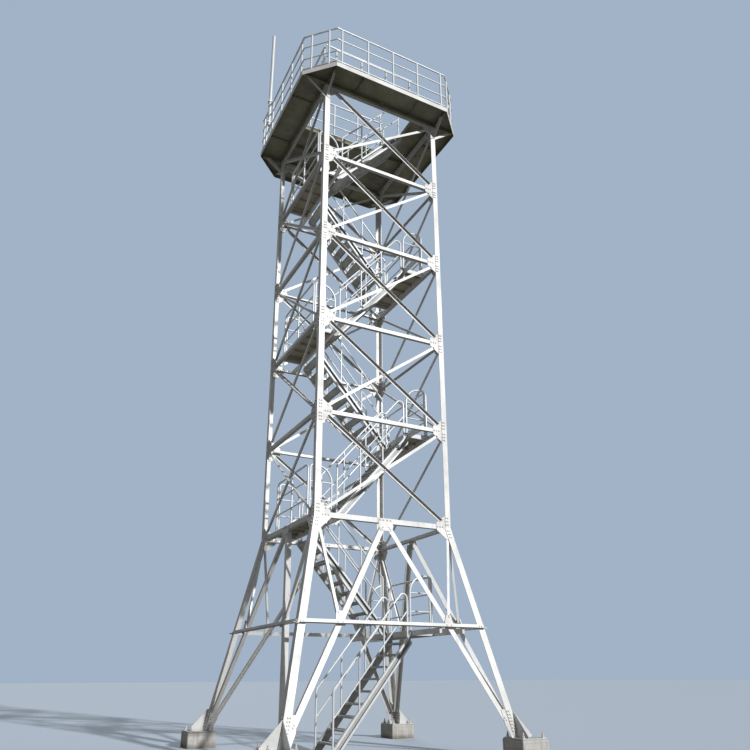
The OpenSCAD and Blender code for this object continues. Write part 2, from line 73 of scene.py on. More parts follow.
# Stair, landings and deck
FLIGHT_W = 0.880
LANE_Y = 0.480
FLIGHT_RUN = 1.830
FLIGHTS = PANELS + 2
LANDINGS = PANELS + 1
RISERS = 10
STRINGER_D = 0.150
STRINGER_FLANGE = 0.060
STRINGER_T = 0.007
STRINGER_LIP = 0.032
TREAD_D = 0.200
TREAD_LIP = 0.038
HANDRAIL_H = 1.020
STAIR_POSTS = 4
STAIR_POST_TUBE = 0.036
POST_ROOT = 0.040
LANDING_W = 1.860
LANDING_FRAME_H = 0.100
LANDING_FRAME_W = 0.050
LANDING_CLEARANCE = 0.033
FLOOR_T = 0.006
GUARD_H = 1.120
GUARD_TUBE = 0.042
MID_TUBE = 0.030
POST_TUBE = 0.048
POST_FOOT_T = 0.008
DECK_PLATE_T = 0.006
DECK_BEAM_H = 0.120
RAILING_H = 1.100
RAILING_IN = 0.030
RAILING_PITCH = 0.690
CORNER_PITCH = 0.450
TOE_RAIL_Z = 0.060
MAST_TUBE = 0.088
MAST_Y = 0.770

# Places worked out from them
HALF = SHAFT_W / 2
FOOT = FOOT_W / 2
BATTER = (FOOT - HALF) / (WAIST_Z - PEDESTAL_H)
SLANT = math.hypot(1, BATTER)
INNER = LEG_T + GUSSET_T
UPRIGHT = Vector((0, -1, 0))
LEANING = Vector((0, -1, BATTER)) / SLANT
DECK_FRAME_Z = DECK_Z - DECK_PLATE_T - DECK_BEAM_H
LEVELS = [WAIST_Z + k * PANEL_H for k in range(PANELS)] + [DECK_FRAME_Z - HORIZONTAL_W / 2]
LANDING_RISE = LANDING_FRAME_H + FLOOR_T - HORIZONTAL_W / 2 + HORIZONTAL_T
FLOORS = ([0.0, RING_Z - HORIZONTAL_W / 2 / SLANT + FLOOR_T]
          + [z + LANDING_RISE for z in LEVELS[:PANELS]] + [DECK_Z])
LANDING_EDGE = FLIGHT_RUN / 2
LANDING_OUTER = HALF - INNER - LANDING_CLEARANCE
GUARD_LINE = 1.4235
GUARD_SIDE = LANDING_W / 2 - GUARD_TUBE
DECK_HALF = DECK_W / 2
DECK_FLAT = DECK_HALF - DECK_CUT
RAIL_HALF = DECK_HALF - RAILING_IN
RAIL_FLAT = DECK_FLAT - RAILING_IN * (math.sqrt(2) - 1)
RAIL_HEIGHTS = (TOE_RAIL_Z, RAILING_H / 3, RAILING_H * 2 / 3, RAILING_H - GUARD_TUBE / 2)

# View of the tower: focal length and image middle in pixels of the square frame
FRAME_PX = 750
FOCAL_PX = 687.11
MIDDLE_PX = 431.65
CAMERA_PLACE = (-6.423, -13.379, 1.392)
CAMERA_RISE = 19.61
CAMERA_HEADING = 27.59
CAMERA_ROLL = -0.19

# Studio: floor and surround as the camera sees them and as they light the tower, and the lamps
FLOOR_SEEN = (0.56, 0.655, 0.77, 1)
FLOOR_BOUNCE = (0.26, 0.255, 0.24, 1)
FLOOR_SIZE = 400
SURROUND_SEEN = (0.36, 0.45, 0.57, 1)
SURROUND_LIGHT = (0.90, 0.95, 1.0, 1)
SURROUND_STRENGTH = 0.18
LAMP_DISTANCE = 40


def set_camera():
    """Camera at the viewing angle, with the frame shifted as the picture is cropped."""
    data = bpy.data.cameras.new("view_camera")
    data.sensor_width = 36.0
    data.sensor_fit = "HORIZONTAL"
    data.lens = FOCAL_PX / FRAME_PX * data.sensor_width
    data.shift_y = (MIDDLE_PX - FRAME_PX / 2) / FRAME_PX
    data.clip_end = 500
    camera = bpy.data.objects.new("view_camera", data)
    bpy.context.scene.collection.objects.link(camera)
    turn = (Matrix.Rotation(math.radians(-CAMERA_HEADING), 4, "Z")
            @ Matrix.Rotation(math.radians(90 + CAMERA_RISE), 4, "X")
            @ Matrix.Rotation(math.radians(CAMERA_ROLL), 4, "Z"))
    camera.matrix_world = Matrix.Translation(CAMERA_PLACE) @ turn
    bpy.context.scene.camera = camera


def add_lamp(name, azimuth, height, strength, softness, tint):
    """Distant lamp; azimuth 0 lights the front face and 90 the right face."""
    data = bpy.data.lights.new(name, "SUN")
    data.energy = strength
    data.angle = math.radians(softness)
    data.color = tint
    lamp = bpy.data.objects.new(name, data)
    bpy.context.scene.collection.objects.link(lamp)
    a, e = math.radians(azimuth), math.radians(height)
    towards = Vector((math.sin(a) * math.cos(e), -math.cos(a) * math.cos(e), math.sin(e)))
    lamp.rotation_euler = towards.to_track_quat("Z", "Y").to_euler()
    lamp.location = towards * LAMP_DISTANCE


def add_node(tree, kind):
    return tree.nodes.new("ShaderNode" + kind)


def join(tree, source, target):
    tree.links.new(source, target)


def feed(tree, socket, value):
    """Gives a socket a plain value, or the output of another node."""
    if isinstance(value, bpy.types.NodeSocket):
        join(tree, value, socket)
    else:
        socket.default_value = value


def split(tree, vector):
    """Outputs X, Y and Z of a vector."""
    made = add_node(tree, "SeparateXYZ")
    join(tree, vector, made.inputs[0])
    return made.outputs


def facing_up(tree):
    """Upward share of the surface normal: 1 on top faces, -1 on undersides."""
    return split(tree, add_node(tree, "NewGeometry").outputs["Normal"])["Z"]


def noise(tree, place, scale, detail, rough=0.55, stretch=None):
    """Noise on the object's own coordinates, stretched along its axes where asked."""
    if stretch:
        mapping = add_node(tree, "Mapping")
        mapping.inputs["Scale"].default_value = stretch
        join(tree, place, mapping.inputs["Vector"])
        place = mapping.outputs["Vector"]
    made = add_node(tree, "TexNoise")
    made.inputs["Scale"].default_value = scale
    made.inputs["Detail"].default_value = detail
    made.inputs["Roughness"].default_value = rough
    join(tree, place, made.inputs["Vector"])
    return made.outputs["Fac"]


def cells(tree, place, scale, output="Color"):
    """Irregular cells, a tone for each, or the distance from their middles."""
    made = add_node(tree, "TexVoronoi")
    made.inputs["Scale"].default_value = scale
    join(tree, place, made.inputs["Vector"])
    return made.outputs[output]


def ranged(tree, value, low, high, to_low=0.0, to_high=1.0):
    """Value taken from one range to another, and kept inside it."""
    made = add_node(tree, "MapRange")
    for key, number in (("From Min", low), ("From Max", high), ("To Min", to_low), ("To Max", to_high)):
        made.inputs[key].default_value = number
    join(tree, value, made.inputs["Value"])
    return made.outputs["Result"]


def mixed(tree, share, first, second):
    """Colour mix; each side is a colour or the output of a node."""
    made = add_node(tree, "Mix")
    made.data_type = "RGBA"
    for socket, value in ((made.inputs[0], share), (made.inputs[6], first), (made.inputs[7], second)):
        feed(tree, socket, value)
    return made.outputs[2]


def maths(tree, way, first, second=0.0):
    made = add_node(tree, "Math")
    made.operation = way
    feed(tree, made.inputs[0], first)
    feed(tree, made.inputs[1], second)
    return made.outputs[0]


def times(tree, value, factor):
    return maths(tree, "MULTIPLY", value, factor)


def new_material(name, metallic):
    """Material with a plain shader; gives the tree, the shader and object coordinates."""
    material = bpy.data.materials.new(name)
    material.use_nodes = True
    tree = material.node_tree
    shader = tree.nodes["Principled BSDF"]
    shader.inputs["Metallic"].default_value = metallic
    place = add_node(tree, "TexCoord").outputs["Object"]
    return material, tree, shader, place


def bumped(tree, shader, height, strength, depth):
    """Small relief on the shader, its depth in metres."""
    bump = add_node(tree, "Bump")
    bump.inputs["Strength"].default_value = strength
    bump.inputs["Distance"].default_value = depth
    join(tree, height, bump.inputs["Height"])
    join(tree, bump.outputs["Normal"], shader.inputs["Normal"])


# Colours of stains and of worn steel, and of the painted shade on the undersides of the bars
RAIN_DIRT = (0.26, 0.24, 0.21, 1)
UNDERSIDE_PAINTED_SHADE = (0.20, 0.19, 0.175, 1)
ZINC_RUST = (0.20, 0.085, 0.035, 1)
FLOOR_RUST = (0.15, 0.06, 0.025, 1)
TRODDEN_DIRT = (0.085, 0.075, 0.055, 1)
WORN_STEEL = (0.42, 0.42, 0.40, 1)
SAND_GRAIN = (0.16, 0.15, 0.13, 1)
OPEN_PORE = (0.10, 0.095, 0.085, 1)
RAIN_RUN = (0.17, 0.155, 0.13, 1)
BOARD_MARK = (0.15, 0.14, 0.12, 1)
SOIL = (0.12, 0.10, 0.065, 1)

# Grain of the finishes: cells in a metre, and lengths in metres
SPANGLE_CELLS = 65.0
SAND_CELLS = 240.0
PORE_CELLS = 55.0
BOARD_W = 0.1
LOZENGE_PITCH = 0.060
ZINC_METALLIC = 0.25
CONCRETE_ROUGHNESS = 0.88


def galvanised(name, light, dark, rust=0.5, gloss=0.46, underside_shade=0.0):
    """Hot-dip zinc with spangle, dull patches, rain streaks, rust specks and painted shade on faces that look
    downward.
    """
    material, tree, shader, place = new_material(name, ZINC_METALLIC)
    spangle = ranged(tree, cells(tree, place, SPANGLE_CELLS), 0.0, 1.0)
    patches = ranged(tree, noise(tree, place, 1.7, 6.0), 0.35, 0.68)
    tone = maths(tree, "ADD", times(tree, spangle, 0.4), times(tree, patches, 0.6))
    zinc = mixed(tree, tone, dark, light)
    streaks = ranged(tree, noise(tree, place, 1.0, 5.0, stretch=(16, 16, 0.9)), 0.54, 0.74, 0.0, 0.3)
    streaked = mixed(tree, streaks, zinc, RAIN_DIRT)
    specks = ranged(tree, noise(tree, place, 23.0, 7.0, 0.65), 0.67, 0.73, 0.0, rust)
    stained = mixed(tree, specks, streaked, ZINC_RUST)
    # Painted shade: faces that look downward are darkened towards a shade colour
    if underside_shade:
        below = ranged(tree, facing_up(tree), -0.75, -0.25, underside_shade, 0.0)
        stained = mixed(tree, below, stained, UNDERSIDE_PAINTED_SHADE)
    join(tree, stained, shader.inputs["Base Color"])
    clean = ranged(tree, patches, 0.0, 1.0, gloss + 0.14, gloss)
    dull = maths(tree, "ADD", clean, times(tree, specks, 0.4))
    join(tree, dull, shader.inputs["Roughness"])
    grain = maths(tree, "ADD", times(tree, spangle, 0.4), noise(tree, place, 140.0, 3.0))
    bumped(tree, shader, grain, 0.25, 0.0006)
    return material


def concrete(name, pale, grey, pore_share):
    """Cast concrete: sand grain, pores, board marks, rain marks and soil stain at the foot."""
    material, tree, shader, place = new_material(name, 0.0)
    clouds = ranged(tree, noise(tree, place, 3.5, 7.0), 0.3, 0.7)
    paste = mixed(tree, clouds, grey, pale)
    sand = ranged(tree, cells(tree, place, SAND_CELLS), 0.0, 1.0, 0.0, 0.22)
    grained = mixed(tree, sand, paste, SAND_GRAIN)
    pores = ranged(tree, cells(tree, place, PORE_CELLS, "Distance"), 0.06, 0.13, pore_share, 0.0)
    pitted = mixed(tree, pores, grained, OPEN_PORE)
    runs = ranged(tree, noise(tree, place, 1.0, 5.0, stretch=(22, 22, 2.2)), 0.5, 0.72, 0.0, 0.45)
    run_down = mixed(tree, runs, pitted, RAIN_RUN)
    height = split(tree, place)["Z"]
    board = maths(tree, "FRACT", times(tree, height, 1 / BOARD_W))
    off_joint = maths(tree, "ABSOLUTE", maths(tree, "SUBTRACT", board, 0.5))
    joint = ranged(tree, off_joint, 0.0, 0.03, 0.6, 0.0)
    lined = mixed(tree, joint, run_down, BOARD_MARK)
    uneven = maths(tree, "ADD", height, times(tree, noise(tree, place, 6.0, 5.0), -0.16))
    soil = ranged(tree, uneven, -0.08, 0.05, 0.8, 0.0)
    soiled = mixed(tree, soil, lined, SOIL)
    join(tree, soiled, shader.inputs["Base Color"])
    shader.inputs["Roughness"].default_value = CONCRETE_ROUGHNESS
    holes = maths(tree, "ADD", times(tree, pores, 0.8), times(tree, joint, 0.5))
    rough = maths(tree, "SUBTRACT", noise(tree, place, 60.0, 6.0, 0.7), holes)
    bumped(tree, shader, rough, 0.6, 0.004)
    return material


def lozenges(tree, place):
    """Raised lozenges of tread plate: 1 on a lozenge, 0 between them."""
    parts = split(tree, place)
    turns = 2 * math.pi / LOZENGE_PITCH
    across = maths(tree, "SINE", times(tree, parts["X"], turns))
    along = maths(tree, "SINE", times(tree, parts["Y"], turns))
    slim = maths(tree, "SUBTRACT", maths(tree, "ABSOLUTE", across), maths(tree, "ABSOLUTE", along))
    return ranged(tree, maths(tree, "ABSOLUTE", slim), 0.62, 0.82)


def floor_steel(name, light, dark, metallic, plate=False, zinc_share=None):
    """Dull floor steel with trodden dirt, scuffs and rust; plate has lozenges, some faces zinc."""
    material, tree, shader, place = new_material(name, metallic)
    patches = ranged(tree, noise(tree, place, 2.3, 7.0), 0.3, 0.7)
    sheet = mixed(tree, patches, dark, light)
    mill = ranged(tree, noise(tree, place, 1.0, 4.0, stretch=(1.2, 9.0, 9.0)), 0.45, 0.7, 0.0, 0.35)
    rolled = mixed(tree, mill, sheet, light)
    scuffs = ranged(tree, noise(tree, place, 9.0, 6.0, 0.7), 0.55, 0.7, 0.0, 0.5)
    trodden = mixed(tree, scuffs, rolled, TRODDEN_DIRT)
    specks = ranged(tree, noise(tree, place, 31.0, 7.0, 0.65), 0.62, 0.70, 0.0, 0.6)
    stained = mixed(tree, specks, trodden, FLOOR_RUST)
    relief = noise(tree, place, 90.0, 5.0)
    if plate:
        raised = lozenges(tree, place)
        stained = mixed(tree, times(tree, raised, 0.35), stained, WORN_STEEL)
        relief = maths(tree, "ADD", times(tree, raised, 1.6), relief)
    if zinc_share:
        stained = mixed(tree, zinc_share(tree, place), stained, zinc_tone(tree, place))
    join(tree, stained, shader.inputs["Base Color"])
    join(tree, ranged(tree, patches, 0.0, 1.0, 0.72, 0.5), shader.inputs["Roughness"])
    bumped(tree, shader, relief, 0.35, 0.0012)
    return material


def edge_share(tree, place):
    """1 on the outer faces of the edge plates of the deck, 0 further in."""
    parts = split(tree, place)
    x = maths(tree, "ABSOLUTE", parts["X"])
    y = maths(tree, "ABSOLUTE", parts["Y"])
    straight = maths(tree, "GREATER_THAN", maths(tree, "MAXIMUM", x, y), DECK_HALF - 0.005)
    cut = maths(tree, "GREATER_THAN", maths(tree, "ADD", x, y), DECK_HALF + DECK_FLAT - 0.006)
    return maths(tree, "MAXIMUM", straight, cut)


def bearer_share(tree, place):
    """1 on the sides and undersides of the landing bearers, 0 on the floor plate."""
    x = maths(tree, "ABSOLUTE", split(tree, place)["X"])
    near = maths(tree, "LESS_THAN", x, LANDING_EDGE + LANDING_FRAME_W + 0.0005)
    far = maths(tree, "GREATER_THAN", x, LANDING_OUTER - LANDING_FRAME_W - 0.0005)
    not_top = maths(tree, "LESS_THAN", facing_up(tree), 0.5)
    return times(tree, maths(tree, "MAXIMUM", near, far), not_top)


def zinc_tone(tree, place):
    """Patchy zinc of the deck edge and the landing bearers."""
    patches = ranged(tree, noise(tree, place, 3.1, 6.0), 0.35, 0.68)
    return mixed(tree, patches, (0.66, 0.67, 0.66, 1), (0.82, 0.83, 0.82, 1))


LEG_ZINC = galvanised("leg_zinc", (0.80, 0.80, 0.79, 1), (0.62, 0.625, 0.625, 1))
# Bracing zinc with painted shade on its downward faces
BRACE_ZINC = galvanised("brace_zinc", (0.82, 0.82, 0.81, 1), (0.64, 0.645, 0.65, 1), underside_shade=0.65)
GUSSET_ZINC = galvanised("gusset_zinc", (0.74, 0.745, 0.74, 1), (0.55, 0.555, 0.555, 1), rust=0.7)
TUBE_ZINC = galvanised("tube_zinc", (0.85, 0.88, 0.91, 1), (0.70, 0.74, 0.78, 1), rust=0.25, gloss=0.36)
STRINGER_ZINC = galvanised("stringer_zinc", (0.78, 0.80, 0.81, 1), (0.60, 0.62, 0.64, 1))
BOLT_ZINC = galvanised("bolt_zinc", (0.76, 0.76, 0.75, 1), (0.57, 0.565, 0.55, 1), rust=0.8)
# Stringer webs: the stringer zinc made darker, as painted shade of the recess between the flanges
SHADED_WEB_ZINC = galvanised("web_zinc_painted_shade", (0.50, 0.51, 0.52, 1), (0.34, 0.345, 0.35, 1))
TREAD_STEEL = floor_steel("tread_steel", (0.62, 0.63, 0.61, 1), (0.43, 0.44, 0.42, 1), 0.2, plate=True)
LANDING_STEEL = floor_steel("landing_steel", (0.42, 0.39, 0.30, 1), (0.25, 0.23, 0.17, 1), 0.1,
                            plate=True, zinc_share=bearer_share)
DECK_STEEL = floor_steel("deck_steel", (0.27, 0.27, 0.19, 1), (0.14, 0.14, 0.095, 1), 0.05, plate=True)
FRAME_STEEL = floor_steel("deck_frame_steel", (0.25, 0.25, 0.175, 1), (0.13, 0.13, 0.09, 1), 0.1,
                          zinc_share=edge_share)
DECK_RIB = floor_steel("deck_rib_steel", (0.30, 0.295, 0.21, 1), (0.16, 0.16, 0.11, 1), 0.1)
CONCRETE = concrete("cast_concrete", (0.68, 0.67, 0.65, 1), (0.47, 0.46, 0.44, 1), pore_share=0.75)
MORTAR = concrete("bedding_mortar", (0.50, 0.49, 0.46, 1), (0.30, 0.29, 0.265, 1), pore_share=0.3)

NODE_FINISH = {
    "pedestals": CONCRETE, "base_shoes": GUSSET_ZINC, "gusset_plates": GUSSET_ZINC,
    "deck_frame": FRAME_STEEL, "deck_plate": DECK_STEEL, "knee_braces": BRACE_ZINC,
    "landing_guards": TUBE_ZINC, "hatch_guard": TUBE_ZINC, "lightning_mast": TUBE_ZINC,
}
FINISH_OF_KIND = (
    ("lower_leg", LEG_ZINC), ("upper_leg", LEG_ZINC), ("bracing", BRACE_ZINC), ("flight", STRINGER_ZINC),
    ("treads", TREAD_STEEL), ("landing_", LANDING_STEEL), ("railing", TUBE_ZINC),
)


def dress_nodes():
    """Gives every carried-over node its finish."""
    for name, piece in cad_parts.items():
        finish = NODE_FINISH.get(name)
        if finish is None:
            finish = next(f for kind, f in FINISH_OF_KIND if name.startswith(kind))
        for place in piece.material_slots:
            place.material = finish
        if not piece.material_slots:
            piece.data.materials.append(finish)


def clear_selection():
    """Leaves edit mode, with nothing selected."""
    if bpy.context.object and bpy.context.object.mode != "OBJECT":
        bpy.ops.object.mode_set(mode="OBJECT")
    bpy.ops.object.select_all(action="DESELECT")


def choose(piece):
    """Makes the piece the only selected and active one."""
    clear_selection()
    piece.select_set(True)
    bpy.context.view_layer.objects.active = piece


def settle(piece, name):
    """Names the piece and puts its place into its mesh, with the object at the origin."""
    choose(piece)
    piece.name = name
    piece.data.name = name
    bpy.ops.object.transform_apply(location=True, rotation=True, scale=True)
    return piece


def clear_picks(kind):
    """Takes every pick off the mesh of the active piece, and sets what is picked."""
    bpy.ops.object.mode_set(mode="EDIT")
    bpy.ops.mesh.select_mode(type=kind)
    bpy.ops.mesh.select_all(action="DESELECT")
    bpy.ops.object.mode_set(mode="OBJECT")


def pick_faces(piece, wanted):
    """Edit mode with the faces selected whose middle and normal suit."""
    clear_picks("FACE")
    for face in piece.data.polygons:
        face.select = wanted(face.center, face.normal)
    bpy.ops.object.mode_set(mode="EDIT")


def pick_edges(piece, wanted):
    """Edit mode with the edges selected whose two ends suit."""
    clear_picks("EDGE")
    points = piece.data.vertices
    for edge in piece.data.edges:
        edge.select = wanted(points[edge.vertices[0]].co, points[edge.vertices[1]].co)
    bpy.ops.object.mode_set(mode="EDIT")


def merge(pieces, name):
    """Joins pieces into one."""
    clear_selection()
    for piece in pieces:
        piece.select_set(True)
    bpy.context.view_layer.objects.active = pieces[0]
    if len(pieces) > 1:
        bpy.ops.object.join()
    whole = bpy.context.object
    whole.name = name
    whole.data.name = name
    return whole


def twin(master, place):
    """Copy of a master with a mesh of its own, at the given place."""
    made = master.copy()
    made.data = master.data.copy()
    made.data.transform(place)
    if place.to_3x3().determinant() < 0:
        made.data.flip_normals()
    bpy.context.scene.collection.objects.link(made)
    return made


def repeated(master, places, name, keep=False):
    """One piece made of copies of a master; the master goes unless it is kept."""
    whole = merge([twin(master, place) for place in places], name)
    if not keep:
        bpy.data.objects.remove(master, do_unlink=True)
    return whole


def turned(i):
    """Turn of the front face to face i: front, right, back, left."""
    return Matrix.Rotation(math.radians(90 * i), 4, "Z")


def moved(x, y, z):
    return Matrix.Translation((x, y, z))


# Mirror images across the middle planes, and no change
FLIP_X = Matrix.Scale(-1, 4, (1, 0, 0))
FLIP_Y = Matrix.Scale(-1, 4, (0, 1, 0))
AS_IT_IS = Matrix.Identity(4)


def aimed(point, normal):
    """Place whose +Z points along the normal."""
    return Matrix.Translation(point) @ normal.to_track_quat("Z", "Y").to_matrix().to_4x4()


def hand_in(piece, finish):
    """Finish, record slot and body of a finished piece."""
    piece.data.materials.clear()
    piece.data.materials.append(finish)
    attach(piece, "root")
    return piece


def block(name, low, high, bevel=0.0):
    """Box between two corners with its edges broken by a small bevel."""
    clear_selection()
    low, high = Vector(low), Vector(high)
    bpy.ops.mesh.primitive_cube_add(size=1, location=(low + high) / 2)
    piece = bpy.context.object
    piece.scale = high - low
    settle(piece, name)
    if bevel:
        bpy.ops.object.mode_set(mode="EDIT")
        bpy.ops.mesh.select_all(action="SELECT")
        bpy.ops.mesh.bevel(offset=bevel, segments=1, affect="EDGES")
        bpy.ops.object.mode_set(mode="OBJECT")
    return piece


def disc(name, radius, low, high, sides=12, chamfer=0.0):
    """Upright round or many-sided piece with a chamfered upper edge."""
    clear_selection()
    bpy.ops.mesh.primitive_cylinder_add(vertices=sides, radius=radius, depth=high - low - chamfer,
                                        location=(0, 0, (low + high - chamfer) / 2))
    piece = settle(bpy.context.object, name)
    if chamfer:
        top = high - chamfer
        pick_faces(piece, lambda middle, normal: normal.z > 0.9 and middle.z > top - 1e-5)
        bpy.ops.mesh.extrude_region_move(TRANSFORM_OT_translate={"value": (0, 0, chamfer)})
        shrink = 1 - chamfer / radius
        bpy.ops.transform.resize(value=(shrink, shrink, 1), center_override=(0, 0, high))
        bpy.ops.object.mode_set(mode="OBJECT")
    return piece


def bent_tube(name, corners, radius, bends, sides=12, steps=7):
    """Round tube through its corner points, bent at each inner one, with closed ends."""
    corners = [Vector(c) for c in corners]
    clear_selection()
    run = (corners[1] - corners[0]).normalized()
    bpy.ops.mesh.primitive_circle_add(vertices=sides, radius=radius, location=corners[0],
                                      rotation=run.to_track_quat("Z", "Y").to_euler(), fill_type="NGON")
    piece = settle(bpy.context.object, name)
    bpy.ops.object.mode_set(mode="EDIT")
    bpy.ops.mesh.select_mode(type="FACE")
    bpy.ops.mesh.select_all(action="SELECT")
    here = corners[0]
    for k in range(1, len(corners)):
        run = (corners[k] - corners[k - 1]).normalized()
        if k == len(corners) - 1:
            bpy.ops.mesh.extrude_region_move(TRANSFORM_OT_translate={"value": corners[k] - here})
            break
        after = (corners[k + 1] - corners[k]).normalized()
        turn = run.angle(after)
        set_back = bends[k - 1] * math.tan(turn / 2)
        bend_start = corners[k] - run * set_back
        bpy.ops.mesh.extrude_region_move(TRANSFORM_OT_translate={"value": bend_start - here})
        axis = run.cross(after).normalized()
        centre = bend_start + axis.cross(run) * bends[k - 1]
        bpy.ops.mesh.spin(steps=steps, angle=-turn, center=centre, axis=axis)
        here = corners[k] + after * set_back
    bpy.ops.mesh.select_all(action="SELECT")
    bpy.ops.mesh.remove_doubles(threshold=1e-5)
    bpy.ops.mesh.normals_make_consistent(inside=False)
    bpy.ops.object.mode_set(mode="OBJECT")
    smooth(piece)
    return piece


def smooth(piece):
    """Soft shading, with creases of more than 40 degrees left sharp."""
    choose(piece)
    bpy.ops.object.shade_smooth_by_angle(angle=math.radians(40))


# Fasteners: corner radius and chamfer of heads and nuts, washers, threads, and heights
HEAD_R = 0.030 / math.sqrt(3)
HEAD_CHAMFER = 0.0022
HEAD_H = 0.013
NUT_H = 0.018
THREAD_R = 0.010
THREAD_H = 0.009
WASHER_R = 0.019
WASHER_T = 0.003


def bolt_head():
    """Hexagon head on a round washer, its seat on z = 0."""
    washer = disc("washer", WASHER_R, 0, WASHER_T, 10)
    head = disc("head", HEAD_R, WASHER_T, WASHER_T + HEAD_H, 6, HEAD_CHAMFER)
    return merge([washer, head], "bolt_head")


def bolt_nut():
    """Nut on a washer with the end of the thread standing proud."""
    nut_top = WASHER_T + NUT_H
    washer = disc("washer", WASHER_R, 0, WASHER_T, 10)
    nut = disc("nut", HEAD_R, WASHER_T, nut_top, 6, HEAD_CHAMFER)
    thread = disc("thread", THREAD_R, nut_top, nut_top + THREAD_H, 8)
    return merge([washer, nut, thread], "bolt_nut")


def foot_screws(x, size):
    """Two bolt heads on a foot plate, at x to either side of its middle."""
    places = [moved(side * x, 0, POST_FOOT_T) @ Matrix.Scale(size, 4) for side in (-1, 1)]
    return repeated(bolt_head(), places, "screws")


def half_at(z):
    """Distance of the outer faces of the legs from the middle at a height."""
    return HALF + BATTER * max(0.0, WAIST_Z - z)


def on_face(x, z, depth):
    """Point of the front face at a depth behind the outer faces of the legs."""
    normal = UPRIGHT if z >= WAIST_Z else LEANING
    return Vector((x, -half_at(z), z)) - normal * depth, normal


def leg_bolts():
    """Two columns of bolts through each leg flange and gusset, above and below each level."""
    columns = (0.058, 0.100)
    rows = (-0.205, -0.135, -0.065, 0.065, 0.135, 0.205)
    for k, level in enumerate(LEVELS):
        for row in rows[:3] if k == PANELS else rows:
            for column in columns:
                z = level + row
                yield -half_at(z) + column, z, 0.0, INNER


def horizontal_bolts():
    """Three bolts at each end of a horizontal, and those of the gusset at the middle of the waist."""
    end_spots, middle_spots = (0.190, 0.248, 0.306), (0.045, 0.120)
    waist_lift, middle_lift = 0.010, 0.026
    for k, level in enumerate(LEVELS):
        z = level + waist_lift if k == 0 else level
        for x in end_spots:
            yield -HALF + x, z, LEG_T, INNER + HORIZONTAL_T
    for x in middle_spots:
        yield -x, WAIST_Z + middle_lift, LEG_T, INNER + HORIZONTAL_T


def diagonal_bolts():
    """One bolt at each end of a diagonal, on the side of leg B."""
    along = 0.229
    reach = 2 * (HALF - UPPER_LEG_W / 2)
    for k in range(PANELS):
        rise = LEVELS[k + 1] - LEVELS[k]
        share = along / math.hypot(reach, rise)
        x = -HALF + UPPER_LEG_W / 2 + reach * share
        yield x, LEVELS[k] + rise * share, LEG_T, INNER + DIAGONAL_T
        yield x, LEVELS[k + 1] - rise * share, LEG_T - DIAGONAL_T, INNER


def brace_bolts():
    """Two bolts at the top and two at the foot of the big lower brace."""
    foot_x, foot_z = FOOT - LOWER_LEG_W / 2, PEDESTAL_H
    reach = math.sqrt(foot_x ** 2 + (FOOT - HALF) ** 2 + (WAIST_Z - foot_z) ** 2)
    foot = reach - BRACE_FOOT
    for along in (0.145, 0.188, foot - 0.038, foot - 0.086):
        share = along / reach
        yield -foot_x * share, WAIST_Z - (WAIST_Z - foot_z) * share, LEG_T, INNER + BRACE_T


def ring_bolts():
    """Ends of the ring bar on the legs, its crossing with the brace, and the foot of the strut."""
    crossing = (FOOT - LOWER_LEG_W / 2) * (WAIST_Z - RING_Z) / (WAIST_Z - PEDESTAL_H)
    ring_middle = RING_Z + 0.004
    for column in (0.048, 0.100):
        yield -half_at(RING_Z) + column, ring_middle, -HORIZONTAL_T, LEG_T
    for x in (-0.052, 0.052):
        yield -crossing + x, ring_middle, -HORIZONTAL_T, INNER + BRACE_T
    top_x = HALF - UPPER_LEG_W / 2
    reach = math.hypot(crossing - top_x, WAIST_Z - RING_Z)
    for along in (0.165, 0.192):
        share = along / reach
        x = -crossing - (top_x - crossing) * share
        yield x, RING_Z + (WAIST_Z - RING_Z) * share, 0.0, INNER + STRUT_T


def shoe_bolts():
    """Columns of bolts through the leg flange and the cheek plate of the base shoe."""
    rows, first, pitch = 7, 0.112, 0.056
    for row in range(rows):
        z = PEDESTAL_H + BASE_PLATE_T + first + pitch * row
        for column in (0.074, 0.116):
            yield -half_at(z) + column, z, 0.0, INNER


def crossing_bolts():
    """Bolt and spacer where two diagonals cross."""
    for k in range(PANELS):
        yield 0.0, (LEVELS[k] + LEVELS[k + 1]) / 2, LEG_T - DIAGONAL_T, INNER + DIAGONAL_T


def make_face_bolts():
    """All the bolts of one face, copied to the four faces."""
    head, nut = bolt_head(), bolt_nut()
    rules = (leg_bolts, horizontal_bolts, diagonal_bolts, brace_bolts, ring_bolts, shoe_bolts)
    sided = [spot for rule in rules for spot in rule()]
    spots = sided + [(-x, z, outer, inner) for x, z, outer, inner in sided] + list(crossing_bolts())
    heads, nuts = [], []
    for x, z, outer, inner in spots:
        point, normal = on_face(x, z, outer)
        heads.append(aimed(point, normal))
        point, normal = on_face(x, z, inner)
        nuts.append(aimed(point, -normal))
    front = merge([repeated(head, heads, "heads"), repeated(nut, nuts, "nuts")], "face_bolts_front")
    for i, side in ((1, "right"), (2, "back"), (3, "left")):
        hand_in(repeated(front, [turned(i)], "face_bolts_" + side, keep=True), BOLT_ZINC)
    hand_in(front, BOLT_ZINC)


def make_spacers():
    """Round packing between the two diagonals at each crossing."""
    ring = disc("spacer", 0.024, 0, GUSSET_T + 0.0002, 14)
    places = []
    for i in range(4):
        for x, z, *_ in crossing_bolts():
            point, normal = on_face(x, z, INNER)
            places.append(turned(i) @ aimed(point, normal))
    hand_in(repeated(ring, places, "crossing_spacers"), GUSSET_ZINC)


